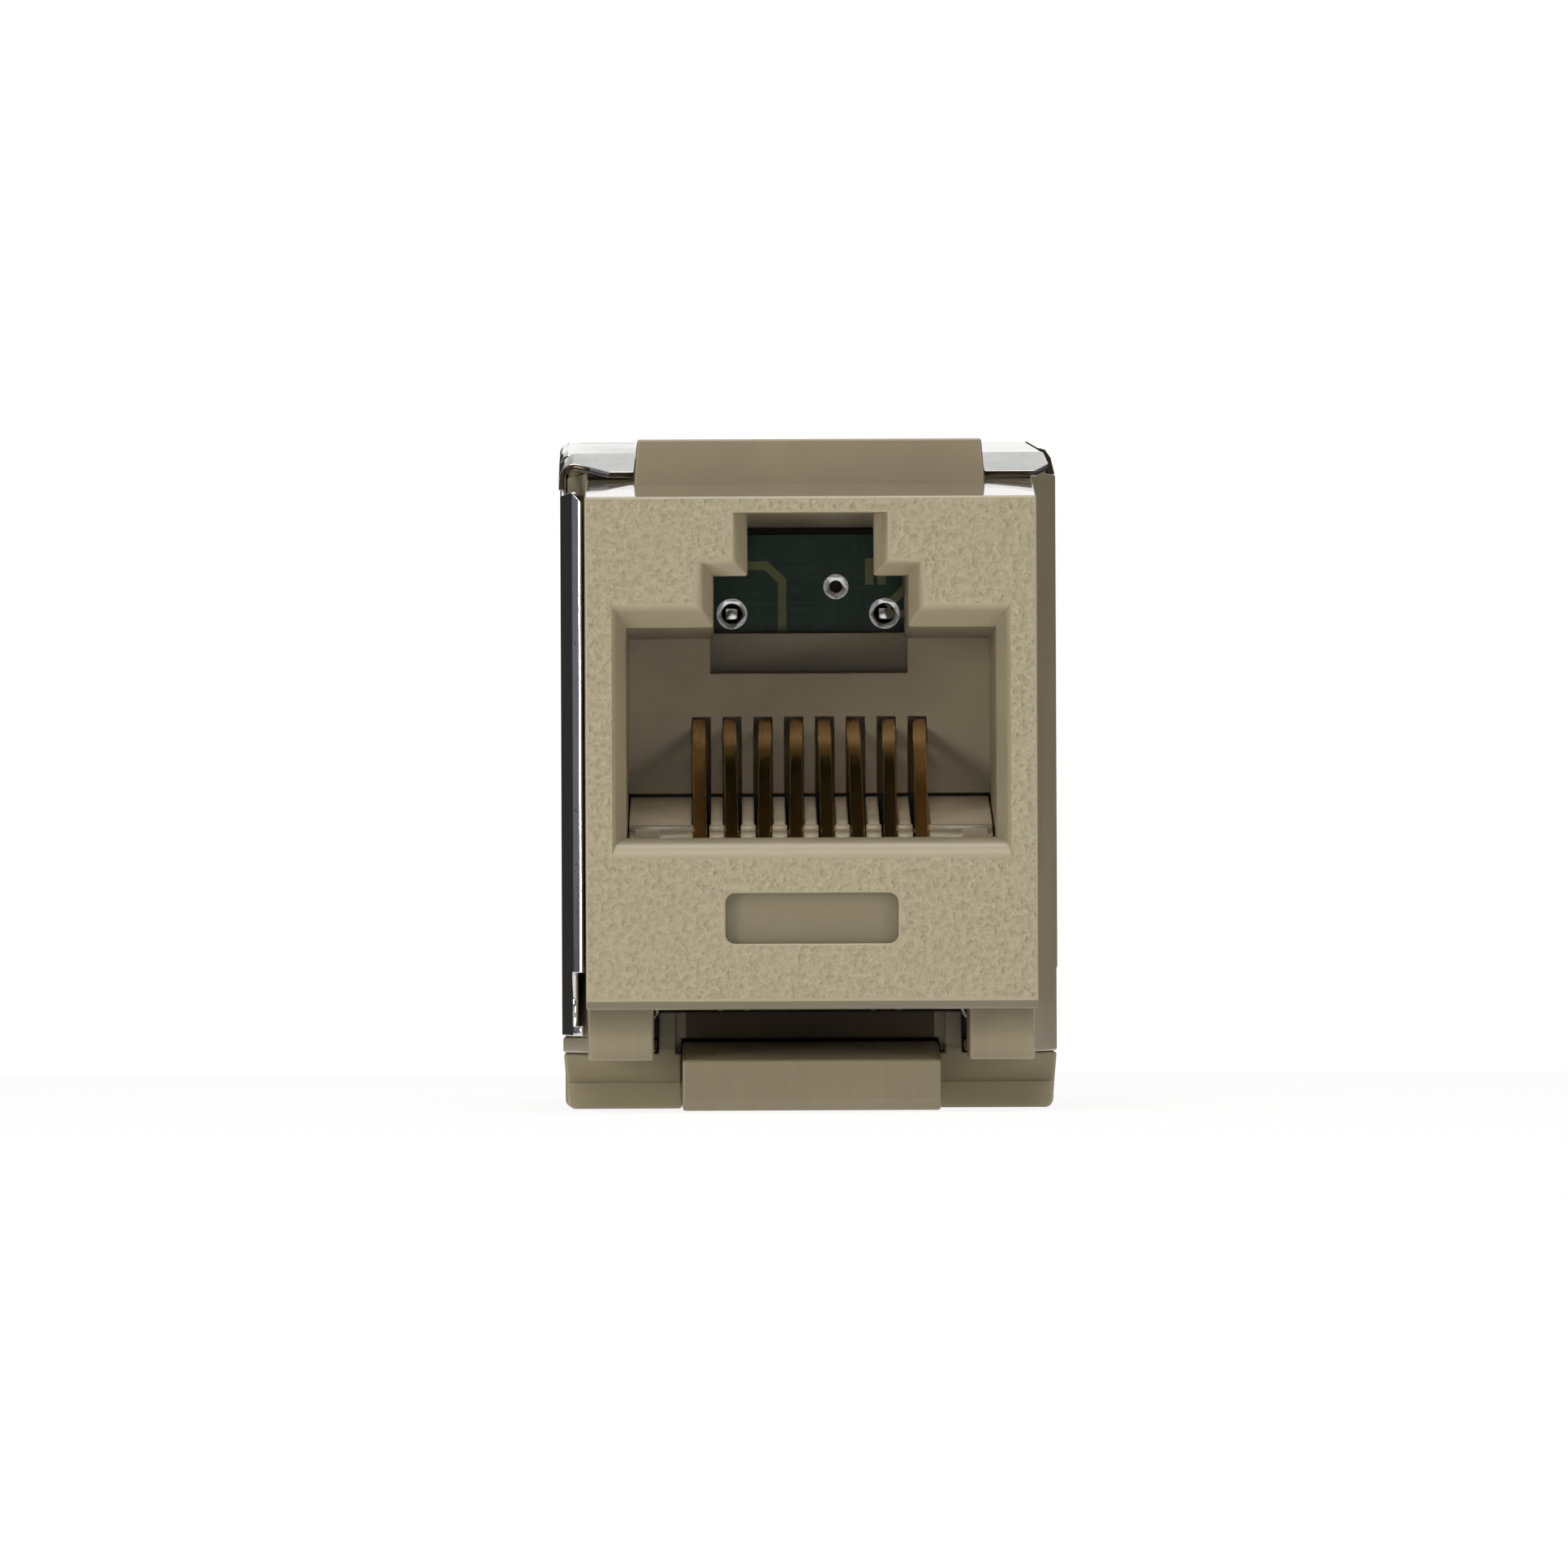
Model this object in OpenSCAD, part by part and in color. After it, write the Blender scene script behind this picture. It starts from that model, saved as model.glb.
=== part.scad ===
// Keystone jack for structured cabling, in millimetres.
// Origin at the centre of the front face, +X to the right, +Y into the jack, +Z up.

/* [Front face] */
// Width of the front face, which passes through the panel opening
face_w = 14.54; // [14.4:0.02:14.6]
// Height of the front face
face_h = 16.18; // [16:0.02:16.2]
// Upward slope of the top of the nose, in degrees
nose_top_slope = 7.8; // [7.2:0.1:8]
// Downward slope of the underside of the nose, in degrees
nose_bottom_slope = 4.6; // [4:0.1:5]
// Height of the bare lip along the lower edge of the front face
nose_lip_h = 0.27; // [0.15:0.01:0.27]
// Depth at which the lug and the feet begin
stop_y = 4; // [3.6:0.1:4.2]
// Radius of the moulded edges
edge_r = 0.3; // [0.2:0.05:0.4]

/* [Port] */
// Width of the port
port_w = 11.88; // [11.7:0.02:11.9]
// Height of the port floor
port_floor = -2.86; // [-2.95:0.01:-2.8]
// Height of the port ceiling at the mouth
port_top = 3.92; // [3.85:0.01:4]
// Width of the middle step for the plug latch
step_w = 6.26; // [6.2:0.02:6.4]
// Height of the step ceiling at the mouth
step_top = 5.58; // [5.5:0.02:5.7]
// Width of the narrow notch for the latch lever
notch_w = 4.06; // [4:0.02:4.2]
// Height of the notch ceiling at the mouth
notch_top = 7.57; // [7.5:0.01:7.6]
// Moulding draft of the ceilings, in degrees
port_draft = 1; // [0.5:0.1:1.2]
// Width of the sloped lead-in at the sides of the port
lead_side = 0.47; // [0.35:0.01:0.5]
// Height of the sloped lead-in above the port and of the round one below it
lead_top = 0.7; // [0.5:0.05:0.75]
// Depth of the lead-ins
lead_depth = 0.7; // [0.5:0.05:0.8]

/* [Label pocket] */
// Width of the label pocket
label_w = 5.54; // [5:0.02:6]
// Height of the label pocket
label_h = 1.61; // [1.4:0.01:1.8]
// Height of the middle of the pocket
label_z = -5.46; // [-5.6:0.02:-5.4]
// Depth of the pocket
label_depth = 0.45; // [0.3:0.05:0.6]

/* [Lug, feet and collar] */
// Width of the fixed lug at its foot
lug_w = 11.36; // [11:0.02:11.5]
// How much the lug narrows on each side towards its top
lug_taper = 0.1; // [0.05:0.01:0.15]
// Height of the top of the lug
lug_top = 10.1; // [10:0.02:10.2]
// Depth of the rear shoulder of the lug, behind which the panel is caught
catch_y = 8.1; // [7.9:0.05:8.3]
// Distance between the feet
feet_gap = 10.22; // [10.2:0.02:10.4]
// Height of the undersides of the feet
feet_bottom = -10.05; // [-10.1:0.01:-10]
// Depth at which the sides begin to widen into the collar
flare_y = 6.6; // [6.4:0.1:7]
// Depth at which the collar has its full width
collar_y = 9.8; // [9.6:0.1:10]
// Width of the collar
collar_w = 16.26; // [16.2:0.02:16.3]
// Height of the top of the collar
collar_top = 10.05; // [10:0.01:10.1]
// Depth of the rear end of the front housing
front_end = 15.2; // [15:0.1:15.4]

/* [Insert] */
// Depth of the front of the contact sled
sled_front = 2.35; // [2.3:0.01:2.5]
// Height of the sled at its front edge
sled_front_z = -2.65; // [-2.7:0.01:-2.6]
// Height of the sled at its rear edge
sled_rear_z = -1.45; // [-1.5:0.01:-1.42]
// Depth of the front face of the comb
comb_front = 9.75; // [9.72:0.01:9.8]
// Height of the top of the comb
comb_top = 4; // [3.9:0.02:4]
// Height of the ledge in the notch of the comb
comb_ledge = 2.62; // [2.4:0.02:2.8]
// Width of the slots for the contacts
slot_w = 0.61; // [0.6:0.01:0.64]
// Height of the top of the slots
slot_top = 1.18; // [1.16:0.02:1.3]

/* [Contacts] */
// Pitch of the eight plug contacts
contact_pitch = 1.016; // [1.01:0.001:1.02]
// Width of a plug contact
contact_w = 0.44; // [0.4:0.01:0.45]
// Thickness of a plug contact
contact_t = 0.25; // [0.2:0.01:0.26]
// Height of the free end of a plug contact
contact_tip_z = 1.13; // [1:0.01:1.13]
// Width of an insulation displacement blade
blade_w = 1.8; // [1.6:0.05:1.9]
// Thickness of a blade
blade_t = 0.4; // [0.35:0.01:0.42]

/* [Circuit board] */
// Depth of the front of the board
board_y = 12.4; // [12.38:0.01:12.42]
// Thickness of the board
board_t = 1.6; // [1.5:0.05:1.6]
// Width of the board
board_w = 13.8; // [13.6:0.05:13.85]
// Height of the top edge of the board
board_top = 7.28; // [7.2:0.02:7.4]
// Diameter of the tinned rings round the blade pins
ring_d = 1.02; // [0.95:0.01:1.05]

/* [Rear] */
// Height of the underside of the rear housing, on which the jack can lie
base_z = -11.7; // [-11.75:0.01:-11.65]
// Depth of the front of the lower shelf
shelf_y = 10.9; // [10.8:0.05:11]
// Depth of the rear of the rear housing, without its towers
rear_end = 18.5; // [18.3:0.1:18.7]
// Depth of the ends of the wire towers
tower_end = 23; // [22.8:0.1:23.2]
// Width of the latch tongue
tongue_w = 8.4; // [8.3:0.02:8.5]
// Depth of the tip of the latch tongue
tongue_y = 4.6; // [4.4:0.05:4.8]
// Height of the top of the tongue at its tip
tongue_top = -10.05; // [-10.15:0.01:-10]

/* [Wire cap] */
// Overall depth of the jack, from the front face to the rear of the cap
total_d = 31; // [30:0.25:33]
// Diameter of the cable inlet
inlet_d = 6.9; // [6.5:0.1:7]
// Height of the middle of the inlet
inlet_z = -2.1; // [-2.2:0.05:-2]

/* [Shield] */
// Thickness of the sheet
sheet_t = 0.2; // [0.18:0.01:0.22]
// Depth of the front edge of the ears beside the lug
ear_y = 5.8; // [5.7:0.05:6]
// Radius of the rolled left corner at the front of the sheet, outside
roll_r = 0.5; // [0.45:0.01:0.55]

/* [Hidden] */
$fn = 48;

// Colours of the finishes
almond = "#aea182";
insert_grey = "#b7ab92";
gold = "#c99a4b";
board_green = "#1f4a38";
tin = "#c9c9c4";
nickel = "#bfc0c0";

// Small distances: running past a face, and the gap between fitted pieces
past = 1;
fit = 0.05;

// Front housing
face_top = face_h / 2;
lug_foot_y = 5.5;
nose_top = face_top + lug_foot_y * tan(nose_top_slope);
nose_bottom = -face_top - stop_y * tan(nose_bottom_slope);
nose_lip_d = 0.22;
collar_bottom = -9.83;
shoulder_top = 9.13;
groove_end = 10.4;
port_end = 9.7;
port_lip = 1.2;
sled_bay_bottom = -5.6;
core_top = -6.2;
core_bottom = -7.3;
core_front = 1.6;
bay_w = 13.9;
bay_bottom = -9.45;
bay_top = 7.6;
foot_w = (face_w - feet_gap) / 2 - fit;
foot_x = (face_w + feet_gap) / 4;
channel_w = feet_gap - 2 * fit;
side_step_z = -7.1;
side_step = 0.03;

// Plate and sprung leaf of the sheet on the left side
plate_x = -8.17;
plate_bottom = -9.27;
plate_front = 10;
leaf_top = 8.49;
leaf_roll = [-7.33, 6.63];
leaf_roll_r = 0.45;
leaf_cut_x = -7.78;
leaf_notch_y = 6.7;
leaf_notch_z = -8.95;
leaf_notch_h = 1.75;
recess_x = plate_x + sheet_t + 0.04;

// Top of the sheet: its flat part, its two bent ears and its stepped right corner
sheet_top = collar_top + sheet_t;
sheet_end = rear_end - fit;
flat_r = 0.24;
flat_step = 0.09;
flat_step_x = -7.6;
lip_x = 8.13;
lip_bottom = 9.16;
lip_line = [
    [lip_x - 0.93, sheet_top], [lip_x - 0.56, sheet_top - 0.22], [lip_x - 0.33, sheet_top - 0.26],
    [lip_x - 0.13, sheet_top - 0.55], [lip_x, lip_bottom]
];
lap = 0.08;
ear_fold_y = 8;
ear_tilt_rear = 11;
ear_tilt_front = 17;
ear_fold_z = sheet_top - (groove_end - ear_fold_y) * tan(ear_tilt_rear);
ear_gap = 0.04;
ear_wall = 0.83;
ear_left = [[-7.66, 6.8], [-6.98, 6.3], [-5.54, 4.8]];
ear_right = [[6.83, 4.8], [7.83, 6.65], [7.7, ear_fold_y], [7.14, groove_end]];

// Insert
sled_w = port_w - 2 * fit;
sled_bottom = sled_bay_bottom + fit;
sled_slot_bottom = -4.95;
sled_gate_w = contact_w + 0.08;
sled_gate_end = 3.45;
nose_r = 0.28;
sled_step_y = 3.2;
sled_step = 0.13;
sled_step_z = sled_front_z + 0.07;
insert_end = 12.25;
comb_w = bay_w - 2 * fit;
comb_bottom = -1.35;
comb_notch_w = 6.46;
comb_back = 11.7;
comb_slot_depth = 1.3;
pad_w = 0.84;
pad_x = 5.3;
pad_d = 0.9;
pad_top = sled_front_z + 0.1;

// Plug contacts
contact_count = 8;
bend_y = 2.95;
bend_z = -3.25;
bend_r = 0.42;
bend_steps = 12;
tip_y = 10.25;
run_z = bend_z - bend_r + contact_t;
tail_rise = [0.62, -0.5];
jog_start = 9.6;
jog_end = 10.9;
tail_end = 14.3;

// Board and its plated holes
board_bottom = -9.4;
board_end = board_y + board_t;
upper_row_z = 4.64;
lower_row_z = -8.38;
blade_x = [-5.5, -2.53, 2.53, 5.5];
pin_w = 0.42;
pin_front = board_y + 0.35;
pin_barrel_d = 0.8;
tail_ring_d = 0.9;
tail_barrel_d = 0.72;
via_x = 0.92;
via_z = 5.53;
via_ring_d = 0.83;
via_hole_d = 0.38;
barrel_wall = 0.07;
ring_t = 0.05;

// Blades and rear housing
blade_front = 14.4;
blade_end = 22.2;
slit_w = 0.3;
slit_front = 18.7;
slit_mouth_w = 0.9;
slit_mouth = 0.7;
blade_slot_gap = 0.1;
pocket_t = blade_t + blade_slot_gap;
spigot_front = board_end + 0.1;
spigot_w = bay_w - 2 * fit;
spigot_bottom = bay_bottom + fit;
spigot_top = bay_top - fit;
seat_y = front_end + fit;
relief_w = 9.4;
relief_bottom = -5.2;
relief_top = -2.6;
relief_depth = 0.7;
shelf_top = collar_bottom - 0.04;
shelf_r = 0.25;
shelf_taper = 0.14;
shelf_step = 0.2;
shelf_step_z = -10.85;
guide_x = 4.72;
guide_w = 0.6;
guide_top = -8.5;
bridge_front = 11.4;
arm_t = 1.3;
arm_root_top = -9.52;
arm_top_y = 11.2;
arm_tip_z = -10.95;
arm_slit = 0.04;
arm_root_y = 16.2;
tower_h = 4.4;
tower_w = 14.3;
wire_w = 0.85;
wire_front = 18.9;

// Wire cap
cap_front = rear_end + fit;
cap_w = 16.1;
cap_top = 8.6;
cap_wall = 0.6;
cap_back_wall = 2.5;
cap_edge = 0.8;
grip_depth = 0.25;
grip_w = 0.7;
grip_pitch = 1.4;
grip_count = 5;
stuffer_w = 13.6;
stuffer_h = 2.4;
inlet_lead = 0.6;

// Solid of a (depth, height) outline, centred across the jack
module across(w) {
    rotate([90, 0, 90])
        linear_extrude(w, center = true)
            children();
}

// Solid of a (side, height) outline from one depth to another
module deep(y0, y1) {
    translate([0, y1, 0])
        rotate([90, 0, 0])
            linear_extrude(y1 - y0)
                children();
}

// Solid of a (side, depth) outline from one height to another
module tall(z0, z1) {
    translate([0, 0, z0])
        linear_extrude(z1 - z0)
            children();
}

// Block of a width, between two depths and two heights, at a place across the jack
module block(w, y0, y1, z0, z1, x = 0) {
    translate([x - w / 2, y0, z0])
        cube([w, y1 - y0, z1 - z0]);
}

// Rectangle between two corners with round corners of radius r
module round_rect(x0, y0, x1, y1, r) {
    translate([x0 + r, y0])
        square([x1 - x0 - 2 * r, y1 - y0]);
    translate([x0, y0 + r])
        square([x1 - x0, y1 - y0 - 2 * r]);
    for (x = [x0 + r, x1 - r], y = [y0 + r, y1 - r])
        translate([x, y])
            circle(r);
}

// Place of contact n, counted from the left
function contact_x(n) = (n - (contact_count + 1) / 2) * contact_pitch;

// Height of the tail of contact n, in two rows
function tail_z(n) = run_z + tail_rise[n % 2];

// Direction to the right of the way from one point to another
function right_of(a, b) = [b.y - a.y, a.x - b.x] / norm(b - a);

// A line of points moved to its right by a distance, with mitred corners
function inset(line, t) =
    let (last = len(line) - 1)
    [
        for (i = [0 : last])
            let (
                n1 = right_of(line[max(i - 1, 0)], line[max(i, 1)]),
                n2 = right_of(line[min(i, last - 1)], line[min(i + 1, last)])
            )
            line[i] + t * (n1 + n2) / (1 + n1 * n2)
    ];

// One width of the port from a depth on, with its drafted ceiling
module port_cut(w, top, from) {
    function ceiling(y) = top - y * tan(port_draft);
    end = port_end + past;
    across(w)
        polygon([[from, port_floor], [from, ceiling(from)], [end, ceiling(end)], [end, port_floor]]);
}

// Lead-in of one width of the port: sloped sides and ceiling, round floor
module lead_in(w, side, z0, top, rise) {
    turn = [for (a = [0 : 15 : 90]) [lead_depth * (1 - sin(a)), z0 - lead_top * (1 - cos(a))]];
    intersection() {
        across(w + 4 * side)
            polygon(concat(
                turn,
                [[-past, z0 - lead_top], [-past, top + rise], [0, top + rise], [lead_depth, top]]
            ));
        tall(z0 - lead_top - past, top + rise + past)
            polygon([
                [-w / 2 - side, -past], [-w / 2 - side, 0], [-w / 2, lead_depth],
                [w / 2, lead_depth], [w / 2 + side, 0], [w / 2 + side, -past]
            ]);
    }
}

// A (side, height) section carried forward from a fold at (y, z), tilted down
module bent_run(y, z, tilt, y_end) {
    translate([0, y, z])
        rotate([tilt, 0, 0])
            translate([0, 0, -sheet_top])
                deep((y_end - y) / cos(tilt), lap)
                    children();
}

// Half the width of the lug at a height
function lug_side(z) = lug_w / 2 - lug_taper * (z - nose_top) / (lug_top - nose_top);

// Outline of the lug up to a height, with a gap round it
module lug_outline(top, gap) {
    polygon([
        [-lug_w / 2 - gap, 0], [-lug_w / 2 - gap, nose_top], [-lug_side(top) - gap, top],
        [lug_side(top) + gap, top], [lug_w / 2 + gap, nose_top], [lug_w / 2 + gap, 0]
    ]);
}

// The nose that passes through the panel
module nose() {
    end = groove_end + past;
    across(face_w)
        polygon([
            [0, -face_top], [0, face_top], [lug_foot_y, nose_top], [end, nose_top],
            [end, nose_bottom], [stop_y, nose_bottom], [nose_lip_d, -face_top - nose_lip_h]
        ]);
}

// The wider rear part of the front housing, with the flared shoulders before it
module collar() {
    half = collar_w / 2;
    inner = face_w / 2 - fit;
    end = groove_end + past;
    for (side = [-1, 1])
        tall(collar_bottom, shoulder_top)
            polygon([
                [side * inner, flare_y], [side * (inner + fit), flare_y], [side * half, collar_y],
                [side * half, end], [side * inner, end]
            ]);
    block(collar_w, groove_end + 2 * lap, front_end, collar_bottom, collar_top);
}

// Section cut away under the stepped right corner and the left corner of the sheet
module corner_clearance() {
    under = inset(lip_line, sheet_t + fit);
    polygon(concat(
        under,
        [[under[len(under) - 1].x, lip_bottom - fit], [lip_x + past, lip_bottom - fit]],
        [[lip_x + past, sheet_top], [under[0].x, sheet_top]]
    ));
    translate([plate_x - past, sheet_top - flat_step - flat_r])
        square([flat_step_x + sheet_t - plate_x + past, past]);
}

// Space for the sheet at the left side and at the top corners
module sheet_recess() {
    tall(plate_bottom - fit, collar_top + past)
        polygon([
            [-face_w / 2, flare_y], [recess_x, groove_end], [recess_x, rear_end + past],
            [recess_x - past, rear_end + past], [recess_x - past, flare_y]
        ]);
    deep(groove_end, rear_end + past)
        corner_clearance();
}

module front_housing() {
    color(almond)
    difference() {
        union() {
            nose();
            collar();
            deep(stop_y, catch_y)
                lug_outline(lug_top, 0);
            for (side = [-1, 1]) {
                block(foot_w, stop_y, catch_y, feet_bottom, nose_bottom + past, side * foot_x);
                block(foot_w, stop_y, collar_y + past, collar_bottom, nose_bottom + past, side * foot_x);
            }
        }
        port_cut(port_w, port_top, -past);
        port_cut(step_w, step_top, -past);
        port_cut(notch_w, notch_top, -past);
        port_cut(step_w, notch_top, port_lip);
        lead_in(port_w, lead_side, port_floor, port_top, lead_top);
        lead_in(step_w, lead_side, port_floor, step_top, lead_side);
        lead_in(notch_w, lead_side, port_floor, notch_top, 0);
        translate([0, 0, label_z])
            deep(-past, label_depth)
                round_rect(-label_w / 2, -label_h / 2, label_w / 2, label_h / 2, edge_r);
        block(port_w, sled_front - fit, port_end + past, sled_bay_bottom, port_floor + past);
        block(port_w, core_front, port_end + past, core_bottom, core_top);
        block(bay_w, port_end, front_end + past, bay_bottom, bay_top);
        block(channel_w, stop_y, front_end + past, collar_bottom - past, nose_bottom);
        block(side_step + past, flare_y, front_end + past, collar_bottom - past, side_step_z,
            collar_w / 2 - side_step + (side_step + past) / 2);
        sheet_recess();
    }
}

module contact_sled() {
    color(insert_grey)
    difference() {
        union() {
            across(sled_w)
                polygon([
                    [sled_front + nose_r, sled_bottom], [sled_front + nose_r, sled_front_z],
                    [sled_step_y, sled_step_z], [sled_step_y, sled_step_z + sled_step],
                    [comb_front, sled_rear_z], [insert_end, sled_rear_z], [insert_end, sled_bottom]
                ]);
            block(sled_w, sled_front, sled_front + past, sled_bottom, sled_front_z - nose_r);
            across(sled_w)
                translate([sled_front + nose_r, sled_front_z - nose_r])
                    circle(nose_r);
            for (side = [-1, 1])
                block(pad_w, sled_front, sled_front + pad_d, sled_bottom, pad_top, side * pad_x);
        }
        for (n = [1 : contact_count]) {
            x = contact_x(n);
            block(sled_gate_w, sled_front - past, sled_gate_end + past, sled_slot_bottom, slot_top, x);
            block(slot_w, sled_gate_end, insert_end + past, sled_slot_bottom, slot_top, x);
        }
    }
}

module contact_comb() {
    color(insert_grey)
    difference() {
        block(comb_w, comb_front, insert_end, comb_bottom, comb_top);
        block(comb_notch_w, comb_front - past, comb_back, comb_ledge, comb_top + past);
        for (n = [1 : contact_count])
            block(slot_w, comb_front - past, comb_front + comb_slot_depth,
                comb_bottom - past, slot_top, contact_x(n));
    }
}

// Points round the front bend at a radius, between two angles
function bend_points(r, from, step, to) =
    [for (a = [from : step : to]) [bend_y + r * cos(a), bend_z + r * sin(a)]];

// One plug contact: sprung run, round bend, lower run and tail into the board
module plug_contact(n) {
    lean = atan2(contact_tip_z - bend_z - bend_r, tip_y - bend_y);
    tip = [tip_y, contact_tip_z];
    tail = tail_z(n);
    color(gold)
    translate([contact_x(n), 0, 0])
        across(contact_w)
            polygon(concat(
                [tip],
                bend_points(bend_r, 90 + lean, (180 - lean) / bend_steps, 270),
                [[jog_start, run_z - contact_t], [jog_end, tail - contact_t], [tail_end, tail - contact_t]],
                [[tail_end, tail], [jog_end, tail], [jog_start, run_z]],
                bend_points(bend_r - contact_t, 270, (lean - 180) / bend_steps, 90 + lean),
                [tip + contact_t * [sin(lean), -cos(lean)]]
            ));
}

// Children at the front face of the board, at each blade pin
module at_pins() {
    for (x = blade_x, z = [upper_row_z, lower_row_z])
        translate([x, board_y, z])
            children();
}

// Children at the front face of the board, at each contact tail
module at_tails() {
    for (n = [1 : contact_count])
        translate([contact_x(n), board_y, tail_z(n) - contact_t / 2])
            children();
}

// Rod of diameter d through the board, with a length past each face
module drill(d, extra) {
    translate([0, -extra, 0])
        rotate([-90, 0, 0])
            cylinder(d = d, h = board_t + 2 * extra);
}

module circuit_board() {
    color(board_green)
    difference() {
        block(board_w, board_y, board_end, board_bottom, board_top);
        at_pins()
            drill(pin_barrel_d, past);
        at_tails()
            drill(tail_barrel_d, past);
        translate([via_x, board_y, via_z])
            drill(via_hole_d + 2 * barrel_wall, past);
    }
}

// Tinned barrel of a hole, with a ring on each face of the board
module barrel(outer, hole) {
    difference() {
        union() {
            drill(hole, 0);
            translate([0, -ring_t, 0])
                rotate([-90, 0, 0])
                    cylinder(d = outer, h = ring_t);
            translate([0, board_t, 0])
                rotate([-90, 0, 0])
                    cylinder(d = outer, h = ring_t);
        }
        drill(hole - 2 * barrel_wall, past);
    }
}

module hole_barrels() {
    color(tin) {
        at_pins()
            barrel(ring_d, pin_barrel_d);
        at_tails()
            barrel(tail_ring_d, tail_barrel_d);
        translate([via_x, board_y, via_z])
            barrel(via_ring_d, via_hole_d + 2 * barrel_wall);
    }
}

// Place of blade n: one to four in the upper row, five to eight in the lower one
function blade_place(n) = [blade_x[(n - 1) % 4], n > 4 ? lower_row_z : upper_row_z];

// One blade: a pin in the board and a forked plate that takes the wire
module idc_contact(n) {
    place = blade_place(n);
    color(tin)
    translate([place.x, 0, place.y])
    difference() {
        union() {
            block(pin_w, pin_front, blade_front + past, -blade_t / 2, blade_t / 2);
            block(blade_w, blade_front, blade_end, -blade_t / 2, blade_t / 2);
        }
        tall(-past, past)
            polygon([
                [-slit_w / 2, slit_front], [slit_w / 2, slit_front],
                [slit_w / 2, blade_end - slit_mouth], [slit_mouth_w / 2, blade_end + fit],
                [-slit_mouth_w / 2, blade_end + fit], [-slit_w / 2, blade_end - slit_mouth]
            ]);
    }
}

// The flexible tongue with its catch, in (depth, height)
module tongue_outline() {
    polygon([
        [tongue_y, base_z + edge_r], [tongue_y, tongue_top], [arm_top_y, arm_root_top],
        [arm_root_y, arm_root_top], [arm_root_y, arm_root_top - arm_t], [catch_y, arm_tip_z],
        [catch_y, base_z], [tongue_y + edge_r, base_z]
    ]);
}

// Section of the lower shelf up to a height, tapered towards its round lower corners
module shelf_section(top) {
    half = collar_w / 2;
    low = half - shelf_taper - shelf_r;
    intersection() {
        polygon(concat(
            [[-half, shelf_top]],
            [for (a = [180 : 15 : 270]) [shelf_r * cos(a) - low, base_z + shelf_r * (1 + sin(a))]],
            [for (a = [270 : 15 : 360]) [shelf_r * cos(a) + low, base_z + shelf_r * (1 + sin(a))]],
            [[half, shelf_top]]
        ));
        translate([-half, base_z - past])
            square([collar_w, top - base_z + past]);
    }
}

// Row of wire towers at a height, with its blade pockets and wire slots cut later
module tower_row(z) {
    block(tower_w, rear_end - past, tower_end, z - tower_h / 2, z + tower_h / 2);
}

module rear_housing() {
    color(almond)
    difference() {
        union() {
            difference() {
                union() {
                    deep(seat_y, rear_end)
                        round_rect(-collar_w / 2, base_z, collar_w / 2, collar_top, shelf_r);
                    deep(shelf_y, seat_y + past)
                        shelf_section(shelf_top);
                    deep(shelf_y - shelf_step, shelf_y + past)
                        shelf_section(shelf_step_z);
                    for (side = [-1, 1])
                        block(guide_w, shelf_y, insert_end, shelf_top - past, guide_top, side * guide_x);
                    block(2 * guide_x, bridge_front, insert_end, shelf_top - past, guide_top);
                }
                block(tongue_w + 2 * arm_slit, shelf_y - past, arm_root_y, base_z - past, spigot_bottom);
            }
            across(tongue_w)
                tongue_outline();
            block(spigot_w, spigot_front, seat_y + past, spigot_bottom, spigot_top);
            tower_row(upper_row_z);
            tower_row(lower_row_z);
        }
        block(relief_w, spigot_front - past, spigot_front + relief_depth, relief_bottom, relief_top);
        for (n = [1 : contact_count]) {
            place = blade_place(n);
            block(blade_w + blade_slot_gap, spigot_front - past, tower_end + past,
                place.y - pocket_t / 2, place.y + pocket_t / 2, place.x);
            block(wire_w, wire_front, tower_end + past,
                place.y - tower_h, place.y + tower_h, place.x);
        }
        sheet_recess();
    }
}

module wire_cap() {
    half = cap_w / 2;
    inside = total_d - cap_back_wall;
    color(almond)
    difference() {
        intersection() {
            deep(cap_front, total_d)
                round_rect(-cap_w / 2, base_z, cap_w / 2, cap_top, edge_r);
            tall(base_z - past, cap_top + past)
                polygon([
                    [-half, cap_front], [-half, total_d - cap_edge], [cap_edge - half, total_d],
                    [half - cap_edge, total_d], [half, total_d - cap_edge], [half, cap_front]
                ]);
        }
        difference() {
            block(cap_w - 2 * cap_wall, cap_front - past, inside, base_z + cap_wall, cap_top - cap_wall);
            for (z = [upper_row_z, lower_row_z])
                block(stuffer_w, tower_end + fit, inside + past, z - stuffer_h / 2, z + stuffer_h / 2);
        }
        for (n = [1 : contact_count]) {
            place = blade_place(n);
            z = n > 4 ? inlet_z - 4 * tower_h : inlet_z;
            block(wire_w, cap_front - past, tower_end, z, z + 4 * tower_h, place.x);
        }
        translate([0, inside - past, inlet_z])
            rotate([-90, 0, 0])
                cylinder(d = inlet_d, h = cap_back_wall + 2 * past);
        translate([0, total_d - inlet_lead, inlet_z])
            rotate([-90, 0, 0])
                cylinder(d1 = inlet_d, d2 = inlet_d + 2 * inlet_lead, h = inlet_lead + fit / 10);
        for (side = [-1, 1], i = [1 : grip_count]) {
            y = total_d - cap_edge - i * grip_pitch;
            block(2 * grip_depth, y - grip_w, y, inlet_z - tower_h, inlet_z + tower_h, side * half);
        }
    }
}

// Section of a sheet that lies to the right of a line of points
module strip(line) {
    inner = inset(line, sheet_t);
    polygon(concat(line, [for (i = [len(line) - 1 : -1 : 0]) inner[i]]));
}

// Points round the left top corner, from the side up to a height, at a radius
function corner_points(r, top) =
    [for (a = [90 : -15 : 0]) [plate_x + r * (1 - sin(a)), top - r * (1 - cos(a))]];

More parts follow.
